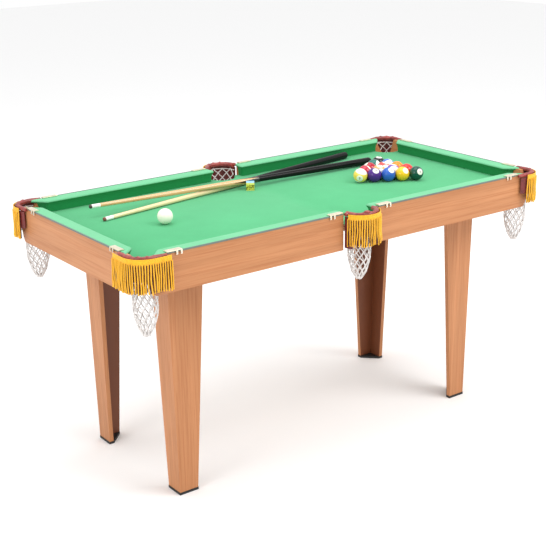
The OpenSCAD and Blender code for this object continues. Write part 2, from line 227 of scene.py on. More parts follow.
def cloth_finish(name, base, deep, face=None):
    """Woven green nap: fine fibre noise over a slight weave. face is a darker green painted shade
    on the cloth below a cushion's nose."""
    f = Finish(name, rough=0.92, spec=0.12)
    nap = f.noise(f.object_coord((1, 1, 1)), 900, detail=3, rough=0.7)
    patch = f.noise(f.object_coord((1, 1, 1)), 9, detail=3, rough=0.6)
    col = f.mix(f.ramp(nap, [(0.35, (0, 0, 0)), (0.65, (1, 1, 1))]), deep, base)
    col = f.mix(1.0, col, f.ramp(patch, [(0.3, (0.95, 0.95, 0.95)), (0.7, (1.04, 1.04, 1.04))]),
                "MULTIPLY")
    # Painted shade: the cloth below a cushion's nose is made darker
    if face:
        height = f.xyz(f.coord.outputs["Object"])[2]
        col = f.mix(f.math("LESS_THAN", height, 0.6372), col, face)
    f.color(col)
    f.bsdf.inputs["Sheen Weight"].default_value = 0.12
    f.bsdf.inputs["Sheen Roughness"].default_value = 0.5
    f.bsdf.inputs["Sheen Tint"].default_value = (0.7, 1.0, 0.8, 1)
    weave = f.add("ShaderNodeTexWave", wave_type="BANDS", bands_direction="DIAGONAL")
    weave.inputs["Scale"].default_value = 700
    f.link(f.object_coord((1, 1, 1)), weave.inputs["Vector"])
    f.bump(nap, 0.25, 0.0004)
    f.bump(weave.outputs["Fac"], 0.08, 0.0002)
    return f.mat


def leather_finish(name, base, deep, rough=0.36):
    f = Finish(name, rough=rough, spec=0.55)
    grain = f.voronoi(f.object_coord((1, 1, 1)), 620)
    wear = f.noise(f.object_coord((1, 1, 1)), 60, detail=5, rough=0.7)
    col = f.mix(f.ramp(wear, [(0.35, (0, 0, 0)), (0.68, (1, 1, 1))]), deep, base)
    f.color(col)
    f.roughness(f.ramp(wear, [(0.3, (rough + 0.12,) * 3), (0.7, (rough - 0.06,) * 3)]))
    f.bsdf.inputs["Coat Weight"].default_value = 0.25
    f.bsdf.inputs["Coat Roughness"].default_value = 0.3
    f.bump(grain, 0.35, 0.0005)
    f.bump(wear, 0.3, 0.001)
    return f.mat


def thread_finish(name, base, deep, scale=500):
    """Twisted thread: fine diagonal ply lines over a slight change of tone."""
    f = Finish(name, rough=0.7, spec=0.25)
    ply = f.add("ShaderNodeTexWave", wave_type="BANDS", bands_direction="DIAGONAL")
    ply.inputs["Scale"].default_value = scale
    ply.inputs["Distortion"].default_value = 1.5
    f.link(f.object_coord((1, 1, 1)), ply.inputs["Vector"])
    tone = f.noise(f.object_coord((1, 1, 0.2)), 220, detail=3)
    col = f.mix(f.ramp(ply.outputs["Fac"], [(0.2, (0, 0, 0)), (0.8, (1, 1, 1))]), deep, base)
    col = f.mix(1.0, col, f.ramp(tone, [(0.3, (0.82,) * 3), (0.7, (1.06,) * 3)]), "MULTIPLY")
    f.color(col)
    f.bsdf.inputs["Sheen Weight"].default_value = 0.2
    f.bump(ply.outputs["Fac"], 0.35, 0.0004)
    return f.mat


def plain_wood(name, light, dark, grain="x"):
    f = Finish(name, rough=0.6, spec=0.3)
    along = {"x": (4, 70, 70), "y": (70, 4, 70)}[grain]
    n = f.noise(f.object_coord(along), 3, detail=6, rough=0.7)
    f.color(f.ramp(n, [(0.35, dark), (0.65, light)]))
    f.bump(n, 0.2, 0.0005)
    return f.mat


def metal_finish(name, base, rough, metal=1.0):
    f = Finish(name, rough=rough, metal=metal, color=base)
    scratch = f.noise(f.object_coord((30, 30, 400)), 3, detail=4)
    tone = f.noise(f.object_coord((1, 1, 1)), 90, detail=3)
    f.color(f.mix(1.0, base, f.ramp(tone, [(0.3, (0.86,) * 3), (0.7, (1.05,) * 3)]), "MULTIPLY"))
    f.roughness(f.ramp(scratch, [(0.3, (rough - 0.06,) * 3), (0.7, (rough + 0.08,) * 3)]))
    f.bump(tone, 0.08, 0.0003)
    return f.mat


def plastic_finish(name, base, rough, grain=900):
    f = Finish(name, rough=rough, color=base)
    n = f.noise(f.object_coord((1, 1, 1)), grain, detail=2)
    tone = f.noise(f.object_coord((1, 1, 1)), 25, detail=3)
    f.color(f.mix(1.0, base, f.ramp(tone, [(0.3, (0.9,) * 3), (0.7, (1.06,) * 3)]), "MULTIPLY"))
    f.roughness(f.ramp(n, [(0.3, (rough - 0.04,) * 3), (0.7, (rough + 0.06,) * 3)]))
    f.bump(n, 0.12, 0.0002)
    return f.mat


VENEER_X = veneer("board_veneer_long", "x")
VENEER_Y = veneer("board_veneer_end", "y")
VENEER_LEG = leg_finish()
BED_CLOTH = cloth_finish("bed_cloth_green", (0.094, 0.425, 0.195), (0.077, 0.365, 0.165))
# The bed's cloth with a lighter base as painted light on the rail tops, and a darker painted shade
# below the nose
RAIL_CLOTH_LIT_AND_SHADED = cloth_finish("rail_cloth_green", (0.17, 0.50, 0.275), (0.14, 0.44, 0.235),
                          (0.012, 0.22, 0.060))
IRON_LEATHER = leather_finish("iron_leather_red", (0.37, 0.045, 0.036), (0.16, 0.014, 0.012))
# Dark red leather, its colour darkened further as painted shade of the pocket's inside behind the
# fringe
COLLAR_LEATHER_PAINTED_SHADE = leather_finish("collar_leather_dark", (0.20, 0.014, 0.010),
                                (0.09, 0.006, 0.006), 0.5)
GOLD = thread_finish("fringe_gold", (1.0, 0.60, 0.035), (0.86, 0.36, 0.012))
# Painted shadow: the gold thread of the inner strands coloured near-black red as if in shade
GOLD_PAINTED_SHADE = thread_finish("fringe_shadow", (0.13, 0.018, 0.006), (0.05, 0.006, 0.004))
NET_CORD = thread_finish("net_cord_white", (0.88, 0.85, 0.82), (0.66, 0.62, 0.60), 700)
BED_WOOD = plain_wood("bed_board_wood", (0.50, 0.33, 0.19), (0.36, 0.22, 0.12))
CLEAT_WOOD = plain_wood("cleat_wood", (0.62, 0.44, 0.26), (0.46, 0.30, 0.16))
STRAP_BRASS = metal_finish("strap_brass", (0.93, 0.84, 0.66), 0.30)
SCREW_STEEL = metal_finish("screw_steel", (0.72, 0.70, 0.66), 0.32)
BOLT_STEEL = metal_finish("bolt_steel", (0.58, 0.58, 0.58), 0.38)
TRIM_GREY = plastic_finish("trim_grey", (0.13, 0.17, 0.15), 0.45)
FOOT_BLACK = plastic_finish("foot_black", (0.012, 0.012, 0.012), 0.6)

CAD_FINISH = {
    "board_front_left": VENEER_X, "board_front_right": VENEER_X,
    "board_back_left": VENEER_X, "board_back_right": VENEER_X,
    "board_left": VENEER_Y, "board_right": VENEER_Y,
    "leg_front_left": VENEER_LEG, "leg_front_right": VENEER_LEG,
    "leg_back_left": VENEER_LEG, "leg_back_right": VENEER_LEG,
    "bed_board": BED_WOOD, "board_cleats": CLEAT_WOOD, "leg_blocks": CLEAT_WOOD,
    "rail_trim": TRIM_GREY, "foot_caps": FOOT_BLACK, "leg_bolts": BOLT_STEEL,
    "strap_screws": SCREW_STEEL, "pocket_collars": COLLAR_LEATHER_PAINTED_SHADE,
}
for node, finish in CAD_FINISH.items():
    piece = frame["nodes"][node]
    piece.data.materials.clear()
    piece.data.materials.append(finish)


# ---- mesh helpers ----

def new_piece(name, verts, faces, materials, smooth=True, tidy=True):
    mesh = bpy.data.meshes.new(name)
    mesh.from_pydata([tuple(v) for v in verts], [], [tuple(f) for f in faces])
    mesh.update()
    piece = bpy.data.objects.new(name, mesh)
    bpy.context.scene.collection.objects.link(piece)
    for m in materials if isinstance(materials, (list, tuple)) else [materials]:
        mesh.materials.append(m)
    if tidy:
        bm = bmesh.new()
        bm.from_mesh(mesh)
        bmesh.ops.remove_doubles(bm, verts=bm.verts, dist=1e-6)
        bmesh.ops.recalc_face_normals(bm, faces=bm.faces)
        bm.to_mesh(mesh)
        bm.free()
    if smooth:
        mesh.polygons.foreach_set("use_smooth", [True] * len(mesh.polygons))
    return piece


def loops_to_faces(n_loops, n_points, closed=True):
    faces = []
    for i in range(n_loops - 1):
        for j in range(n_points if closed else n_points - 1):
            k = (j + 1) % n_points
            faces.append((i * n_points + j, i * n_points + k,
                          (i + 1) * n_points + k, (i + 1) * n_points + j))
    return faces


def joined(name, pieces):
    """Joins pieces into the first one, keeping every material."""
    for o in bpy.context.view_layer.objects:
        o.select_set(False)
    for o in pieces:
        o.select_set(True)
    bpy.context.view_layer.objects.active = pieces[0]
    bpy.ops.object.join()
    pieces[0].name = name
    return pieces[0]


def smooth_by_angle(piece, degrees):
    """Smooth shading with edges sharper than this kept crisp."""
    mesh = piece.data
    bm = bmesh.new()
    bm.from_mesh(mesh)
    for e in bm.edges:
        if len(e.link_faces) == 2:
            e.smooth = e.calc_face_angle(0) < math.radians(degrees)
    for fa in bm.faces:
        fa.smooth = True
    bm.to_mesh(mesh)
    bm.free()


def pocket_matrix(spot):
    x, y, out = POCKETS[spot]
    return Matrix.Translation((x, y, 0)) @ Matrix.Rotation(math.radians(out), 4, "Z")


def iron_matrix(spot):
    return pocket_matrix(spot) @ Matrix.Translation((0, 0, IRON_Z))


# ---- bed cloth ----

def bed_cloth():
    """The bed's cloth, turned down over the edge of every pocket cut."""
    mesh = frame["nodes"]["bed_cloth"].data.copy()
    piece = bpy.data.objects.new("bed_cloth_sheet", mesh)
    bpy.context.scene.collection.objects.link(piece)
    bm = bmesh.new()
    bm.from_mesh(mesh)
    bmesh.ops.remove_doubles(bm, verts=bm.verts, dist=1e-6)
    bm.normal_update()
    low = [fa for fa in bm.faces if fa.normal.z < 0.9]
    bmesh.ops.delete(bm, geom=low, context="FACES")
    rim = []
    for e in bm.edges:
        if len(e.link_faces) == 1:
            mid = (e.verts[0].co + e.verts[1].co) / 2
            near = min(math.hypot(mid.x - x, mid.y - y) for x, y, _ in POCKETS.values())
            if near < 0.0492 and abs(mid.x) < HALF_L - 0.011 and abs(mid.y) < HALF_W - 0.011:
                rim.append(e)
    for inward, drop in ((0.0007, 0.0004), (0.0003, 0.0010), (0.0, 0.0035), (0.0, 0.0035)):
        out = bmesh.ops.extrude_edge_only(bm, edges=rim)["geom"]
        rim = [g for g in out if isinstance(g, bmesh.types.BMEdge) and len(g.link_faces) == 1]
        moved = {v for g in rim for v in g.verts}
        for v in moved:
            x, y, _ = min(POCKETS.values(), key=lambda p: math.hypot(v.co.x - p[0], v.co.y - p[1]))
            away = Vector((x - v.co.x, y - v.co.y, 0)).normalized()
            v.co += away * inward + Vector((0, 0, -drop))
        rim = [g for g in rim if g.verts[0] in moved and g.verts[1] in moved]
    bmesh.ops.recalc_face_normals(bm, faces=bm.faces)
    if sum(fa.normal.z * fa.calc_area() for fa in bm.faces) < 0:
        bmesh.ops.reverse_faces(bm, faces=bm.faces)
    area = sum(fa.calc_area() for fa in bm.faces)
    for fa in bm.faces:
        fa.smooth = True
    bm.to_mesh(mesh)
    bm.free()
    mesh.materials.clear()
    mesh.materials.append(BED_CLOTH)
    thick = piece.modifiers.new("cloth thickness", "SOLIDIFY")
    thick.thickness = 0.0008
    thick.offset = -1
    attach(piece, "table")
    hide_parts("bed_cloth")
    return piece


# ---- cushions ----

# Each level of a cushion: inset from the nose, height, distance of the outer side
CUSHION_LEVELS = [
    (0.0050, 0.6113, 0.0103), (0.0049, 0.6160, 0.0103), (0.0045, 0.6230, 0.0103),
    (0.0034, 0.6295, 0.0103), (0.0017, 0.6335, 0.0103), (0.0008, 0.6352, 0.0103),
    (0.0005, 0.6354, 0.0010), (0.0002, 0.6365, 0.0010), (0.0, 0.6378, 0.0010),
    (0.0004, 0.6392, 0.0010), (0.0015, 0.6404, 0.0011), (0.0031, 0.6412, 0.0014),
    (0.0052, 0.6417, 0.0020), (0.0080, 0.6420, 0.0032), (0.0120, 0.6420, 0.0060),
]


def line_meet(p, d, q, e):
    """Where the line through p along d meets the line through q along e."""
    den = d[0] * e[1] - d[1] * e[0]
    t = ((q[0] - p[0]) * e[1] - (q[1] - p[1]) * e[0]) / den
    return np.array([p[0] + d[0] * t, p[1] + d[1] * t])


def rounded_corner(before, corner, after, r, n=7):
    """Points of an arc of radius r that rounds a corner."""
    a = (before - corner) / np.linalg.norm(before - corner)
    b = (after - corner) / np.linalg.norm(after - corner)
    half = math.acos(max(-1, min(1, float(a @ b)))) / 2
    reach = r / math.tan(half)
    p0, p1 = corner + a * reach, corner + b * reach
    mid = (a + b) / np.linalg.norm(a + b)
    centre = corner + mid * (r / math.sin(half))
    t0 = math.atan2(*(p0 - centre)[::-1])
    t1 = math.atan2(*(p1 - centre)[::-1])
    turn = (t1 - t0 + math.pi) % (2 * math.pi) - math.pi
    return [centre + r * np.array([math.cos(t0 + turn * i / (n - 1)),
                                   math.sin(t0 + turn * i / (n - 1))]) for i in range(n)]


def cushion_loop(ends, inset, outer):
    """One level's outline as (s, u): s along the rail, u in from the cabinet's face.
    ends gives, for the low and high end, the nose corner, the jaw's direction away
    from the rail's middle, and where the rail stops beside the iron."""
    nose_u = RAIL_W - inset
    sides = []
    for sign, (nose_s, jaw, stop) in zip((-1, 1), ends):
        jaw_dir = np.array([sign * jaw[0], -jaw[1]])
        normal = np.array([-jaw_dir[1], jaw_dir[0]]) / np.linalg.norm(jaw_dir)
        if normal[0] * sign > 0:
            normal = -normal
        jaw_at = np.array([nose_s, RAIL_W]) + normal * inset
        corner = line_meet(jaw_at, jaw_dir, (0, nose_u), (1, 0))
        if stop[0] == "jaw":
            back = line_meet(jaw_at, jaw_dir, (0, outer + stop[1]), (1, 0))
            edge = np.array([back[0], outer])
            tail = [back, (back * 0.5 + edge * 0.5), edge]
        else:
            step_u = max(0.004, outer + 0.0002)
            back = line_meet(jaw_at, jaw_dir, (0, step_u), (1, 0))
            tail = [back, np.array([stop[1], step_u]), np.array([stop[1], outer])]
        sides.append((corner, tail))
    (low_c, low_t), (high_c, high_t) = sides
    r = 0.006
    points = [low_t[2], low_t[1], low_t[0]]
    points += rounded_corner(low_t[0], low_c, high_c, r)
    n = 40
    points += [low_c + (high_c - low_c) * (0.02 + 0.96 * i / (n - 1)) for i in range(n)]
    points += rounded_corner(low_c, high_c, high_t[0], r)
    points += [high_t[0], high_t[1], high_t[2]]
    return points


def cushion(name, ends, place):
    """A cloth-covered rail. place turns (s, u) into the table's x and y."""
    verts = []
    for inset, z, outer in CUSHION_LEVELS:
        for s, u in cushion_loop(ends, inset, outer):
            wave = 0.00018 * math.sin(s * 61) + 0.00012 * math.sin(s * 143 + 1.3)
            rise = wave if 0.0002 < inset < 0.012 and z < 0.6415 else 0
            x, y = place(s, u - rise)
            verts.append((x, y, z))
    n = len(verts) // len(CUSHION_LEVELS)
    faces = loops_to_faces(len(CUSHION_LEVELS), n)
    faces.append(tuple(range(n)))
    faces.append(tuple(range(len(verts) - n, len(verts))))
    piece = new_piece("cushion_cover_" + name, verts, faces, RAIL_CLOTH_LIT_AND_SHADED)
    smooth_by_angle(piece, 50)
    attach(piece, "table")
    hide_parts("cushion_" + name)
    return piece


CORNER_JAW = (0.028, 0.031)
# At the side pocket the jaw opens slightly towards the iron
LONG_LOW = (0.044, (-0.0025, 0.031), ("step", 0.0537))
LONG_HIGH = (0.541, CORNER_JAW, ("jaw", 0.0032))
SHORT_HIGH = (0.213, CORNER_JAW, ("jaw", 0.0032))
SHORT_LOW = (-0.213, CORNER_JAW, ("jaw", 0.0032))


def cushions():
    for side, sy in (("front", -1), ("back", 1)):
        for end, sx in (("left", -1), ("right", 1)):
            cushion(side + "_" + end, (LONG_LOW, LONG_HIGH),
                    lambda s, u, sx=sx, sy=sy: (sx * s, sy * (HALF_W - u)))
    for end, sx in (("left", -1), ("right", 1)):
        cushion(end, (SHORT_LOW, SHORT_HIGH), lambda s, u, sx=sx: (sx * (HALF_L - u), s))


# ---- irons, collars ----

def bell(t, at, width):
    return math.exp(-((t - at) / width) ** 2)


# An iron's arms: their lengths, how they lean, and how they thin towards their ends
CORNER_ARM, SIDE_ARM = 0.0353, 0.0105
CORNER_LEAN = math.radians(2.6)
ARM_TAPER, ARM_END = 0.0016, 0.0009
KNUCKLE_R = 0.005
KNUCKLES = ((-27, 0.0021, 1.15), (0, 0.0021, 1.15), (27, 0.0021, 1.15))
# The front middle iron's stitched lump
LUMP = (-15, 0.0058, 1.75)


def arm_radius(t):
    """An arm's own radius, t from 0 at its root to 1 at its rounded-off end."""
    return IRON_TUBE - ARM_TAPER * t - (ARM_END if t > 0.97 else 0)


def bound_tube(centres, seed, material):
    """Tube wound in leather along centres: each has a place, a side way and a radius."""
    ring = 28
    verts = []
    for i, (c, side, r) in enumerate(centres):
        t = i / 9
        r += 0.00022 * math.sin(t * 2.6 + seed) + 0.00012 * math.sin(t * 5.8 + 2 * seed)
        for j in range(ring):
            b = 2 * math.pi * j / ring
            fold = 0.975 + 0.025 * math.sin(3 * b + 2.1 * math.sin(t + seed))
            verts.append((c[0] + side[0] * r * fold * math.cos(b),
                          c[1] + side[1] * r * fold * math.cos(b), r * fold * math.sin(b)))
    faces = loops_to_faces(len(centres), ring)
    faces.append(tuple(range(ring)))
    faces.append(tuple(range(len(verts) - ring, len(verts))))
    return new_piece("bound_tube", verts, faces, material)


def iron(spot):
    """Leather-bound iron: a ring with arms along the boards, and three knuckles."""
    seed = sum(ord(c) for c in spot) % 50
    corner = "middle" not in spot
    half = math.radians(45 if corner else 88)
    arc = []
    for a in np.linspace(-half, half, 49):
        t = abs(math.degrees(a))
        r = IRON_TUBE - 0.0007 * bell(t, 13.5, 5) - 0.0003 * bell(t, 38, 10)
        arc.append(((IRON_R * math.cos(a), IRON_R * math.sin(a)),
                    (math.cos(a), math.sin(a)), r))
    parts = []
    if corner:
        arms = []
        for sign in (-1, 1):
            way = np.array([-math.sin(half + CORNER_LEAN), sign * math.cos(half + CORNER_LEAN)])
            side = np.array([math.cos(half), sign * math.sin(half)])
            root = side * IRON_R
            arms.append([(tuple(root + way * CORNER_ARM * t), tuple(side), arm_radius(t))
                         for t in np.linspace(0.05, 1, 20)])
        parts.append(bound_tube(arms[0][::-1] + arc + arms[1], seed, IRON_LEATHER))
    else:
        parts.append(bound_tube(arc, seed, IRON_LEATHER))
        for sign in (-1, 1):
            arm = [((0.0054 + 0.0011 * t, sign * (0.0397 + SIDE_ARM * t)), (1, 0), arm_radius(t))
                   for t in np.linspace(0, 1, 12)]
            parts.append(bound_tube(arm, seed + sign, IRON_LEATHER))
    lumps = [*KNUCKLES, LUMP] if spot == "front_middle" else KNUCKLES
    for turn, lift, wide in lumps:
        bm = bmesh.new()
        bmesh.ops.create_icosphere(bm, subdivisions=3, radius=KNUCKLE_R)
        bm.transform(Matrix.Rotation(math.radians(turn), 4, "Z")
                     @ Matrix.Translation((IRON_R, 0, lift)) @ Matrix.Diagonal((1, wide, 1, 1)))
        mesh = bpy.data.meshes.new("knuckle")
        bm.to_mesh(mesh)
        bm.free()
        mesh.materials.append(IRON_LEATHER)
        mesh.polygons.foreach_set("use_smooth", [True] * len(mesh.polygons))
        knuckle = bpy.data.objects.new("knuckle", mesh)
        bpy.context.scene.collection.objects.link(knuckle)
        parts.append(knuckle)
    piece = joined("iron_cover_" + spot, parts)
    piece.data.transform(iron_matrix(spot))
    smooth_by_angle(piece, 60)
    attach(piece, "table")
    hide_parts("iron_" + spot)
    return piece


# ---- geometry node helpers ----

def socket_id(tree, name):
    for item in tree.interface.items_tree:
        if item.item_type == "SOCKET" and item.in_out == "INPUT" and item.name == name:
            return item.identifier
    raise KeyError(name)


def node_tree(name, inputs):
    tree = bpy.data.node_groups.new(name, "GeometryNodeTree")
    tree.interface.new_socket("Geometry", in_out="INPUT", socket_type="NodeSocketGeometry")
    for label, kind, default in inputs:
        s = tree.interface.new_socket(label, in_out="INPUT", socket_type="NodeSocket" + kind)
        if default is not None:
            s.default_value = default
    tree.interface.new_socket("Geometry", in_out="OUTPUT", socket_type="NodeSocketGeometry")
    return tree


def grown(name, base, tree, values, material):
    """Runs a tree on a base object and returns the result as a plain mesh piece."""
    mod = base.modifiers.new(tree.name, "NODES")
    mod.node_group = tree
    for label, value in values.items():
        mod[socket_id(tree, label)] = value
    mod[socket_id(tree, "Finish")] = material
    bpy.context.view_layer.update()
    deps = bpy.context.evaluated_depsgraph_get()
    mesh = bpy.data.meshes.new_from_object(base.evaluated_get(deps), depsgraph=deps)
    mesh.name = name
    piece = bpy.data.objects.new(name, mesh)
    bpy.context.scene.collection.objects.link(piece)
    bpy.data.objects.remove(base, do_unlink=True)
    mesh.polygons.foreach_set("use_smooth", [True] * len(mesh.polygons))
    return piece


def cord_tree():
    """Round cord along every edge of a base mesh, and a knot on every marked point."""
    tree = node_tree("cord_net", [("Cord Radius", "Float", 0.0012), ("Knot Radius", "Float", 0.002),
                                  ("Sides", "Int", 6), ("Finish", "Material", None)])
    n, l = tree.nodes, tree.links
    gi, go = n.new("NodeGroupInput"), n.new("NodeGroupOutput")
    curve = n.new("GeometryNodeMeshToCurve")
    circle = n.new("GeometryNodeCurvePrimitiveCircle")
    sweep = n.new("GeometryNodeCurveToMesh")
    sweep.inputs["Fill Caps"].default_value = True
    ball = n.new("GeometryNodeMeshIcoSphere")
    ball.inputs["Subdivisions"].default_value = 1
    knots = n.new("GeometryNodeInstanceOnPoints")
    marked = n.new("GeometryNodeInputNamedAttribute")
    marked.data_type = "FLOAT"
    marked.inputs["Name"].default_value = "knot"
    above = n.new("FunctionNodeCompare")
    above.data_type = "FLOAT"
    above.operation = "GREATER_THAN"
    above.inputs[1].default_value = 0.5
    spin = n.new("FunctionNodeRandomValue")
    spin.data_type = "FLOAT_VECTOR"
    spin.inputs[1].default_value = (6.28, 6.28, 6.28)
    spin.inputs["Seed"].default_value = 7
    join = n.new("GeometryNodeJoinGeometry")
    real = n.new("GeometryNodeRealizeInstances")
    paint = n.new("GeometryNodeSetMaterial")
    l.new(gi.outputs["Geometry"], curve.inputs[0])
    l.new(gi.outputs["Cord Radius"], circle.inputs["Radius"])
    l.new(gi.outputs["Sides"], circle.inputs["Resolution"])
    l.new(curve.outputs[0], sweep.inputs["Curve"])
    l.new(circle.outputs[0], sweep.inputs["Profile Curve"])
    l.new(gi.outputs["Geometry"], knots.inputs["Points"])
    l.new(marked.outputs["Attribute"], above.inputs[0])
    l.new(above.outputs[0], knots.inputs["Selection"])
    l.new(gi.outputs["Knot Radius"], ball.inputs["Radius"])
    l.new(ball.outputs[0], knots.inputs["Instance"])
    l.new(spin.outputs[0], knots.inputs["Rotation"])
    l.new(sweep.outputs[0], join.inputs[0])
    l.new(knots.outputs[0], join.inputs[0])
    l.new(join.outputs[0], real.inputs[0])
    l.new(real.outputs[0], paint.inputs[0])
    l.new(gi.outputs["Finish"], paint.inputs["Material"])
    l.new(paint.outputs[0], go.inputs[0])
    return tree


CORD_TREE = cord_tree()


def line_mesh(name, lines, knots=()):
    """A mesh of bare edges: lines is a list of point lists, knots a list of points."""
    verts, edges, marks = [], [], []
    for pts in lines:
        base = len(verts)
        verts += [tuple(p) for p in pts]
        marks += [0.0] * len(pts)
        edges += [(base + i, base + i + 1) for i in range(len(pts) - 1)]
    for p in knots:
        verts.append(tuple(p))
        marks.append(1.0)
    mesh = bpy.data.meshes.new(name)
    mesh.from_pydata(verts, edges, [])
    attr = mesh.attributes.new("knot", "FLOAT", "POINT")
    attr.data.foreach_set("value", marks)
    base = bpy.data.objects.new(name, mesh)
    bpy.context.scene.collection.objects.link(base)
    return base


# ---- nets ----

def net_radius(z, depth):
    """Radius of the hanging bag at height z."""
    foot = RAIL_H - depth
    zs = [foot, foot + 0.003, foot + 0.022, foot + 0.055, 0.579, 0.587, 0.594, 0.627]
    rs = [0.0035, 0.008, 0.0195, 0.0285, 0.0295, 0.0325, 0.037, 0.0422]
    return float(np.interp(z, zs, rs))


def net(spot):
    """Knotted net bag: long diamonds of cord hung from under the iron, tied at the foot."""
    depth = 0.192 if "middle" not in spot else 0.175
    foot = RAIL_H - depth
    rng = random.Random("net " + spot)
    columns, rows = 20, 13
    lim = math.radians(92 if "middle" in spot else 67)
    top_z = 0.6262
    mesh_h = (top_z - foot - 0.004) / rows
    zs = [top_z - mesh_h * i for i in range(rows + 1)]
    where = {}
    for i, z in enumerate(zs):
        for c in range(columns):
            if (i + c) % 2:
                continue
            a = 2 * math.pi * (c + rng.uniform(-0.13, 0.13)) / columns
            top = top_z if math.cos(a) > math.cos(lim) else 0.5935
            if z > top:
                continue
            zz = z + rng.uniform(-0.0012, 0.0012)
            r = net_radius(zz, depth) - 0.0018 + rng.uniform(-0.0007, 0.0002)
            where[(i, c)] = Vector((r * math.cos(a), r * math.sin(a), zz))
    lines = []
    for (i, c), p in where.items():
        for dc in (-1, 1):
            q = where.get((i + 1, (c + dc) % columns))
            if q is None:
                continue
            mid = (p + q) / 2
            reach = (net_radius(mid.z, depth) - 0.0016)
            flat = Vector((mid.x, mid.y, 0)).normalized()
            mid = Vector((flat.x * reach, flat.y * reach, mid.z - 0.0004))
            swell = rng.uniform(-0.0007, 0.0007)
            side = Vector((-flat.y, flat.x, 0)) * swell
            lines.append([p, p.lerp(mid, 0.5) + side * 0.6, mid + side,
                          mid.lerp(q, 0.5) + side * 0.6, q])
    # The inner half hangs from a cord under the bed, and the foot is drawn together
    rim_in = [Vector((0.0362 * math.cos(a), 0.0362 * math.sin(a), 0.5925))
              for a in np.linspace(lim, 2 * math.pi - lim, 25)]
    rim_out = [Vector((0.0405 * math.cos(a), 0.0405 * math.sin(a), top_z - 0.0007))
               for a in np.linspace(-lim, lim, 25)]
    tie = [Vector((0.0042 * math.cos(a), 0.0042 * math.sin(a), foot + 0.0035))
           for a in np.linspace(0, 2 * math.pi, 13)]
    lines += [rim_in, rim_out, tie]
    for (i, c), p in where.items():
        up = [(i - 1, (c + d) % columns) in where for d in (-1, 1)]
        if not any(up) and p.z < 0.61 and math.cos(math.atan2(p.y, p.x)) < math.cos(lim):
            flat = Vector((p.x, p.y, 0)).normalized() * 0.0362
            lines.append([p, Vector((flat.x, flat.y, 0.5925))])
    base = line_mesh("net_lines", lines, [p for p in where.values()])
    piece = grown("net_bag_" + spot, base, CORD_TREE,
                  {"Cord Radius": 0.00145, "Knot Radius": 0.0024, "Sides": 6}, NET_CORD)
    piece.data.transform(pocket_matrix(spot))
    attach(piece, "table")
    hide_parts("net_" + spot)
    return piece


# ---- fringe ----

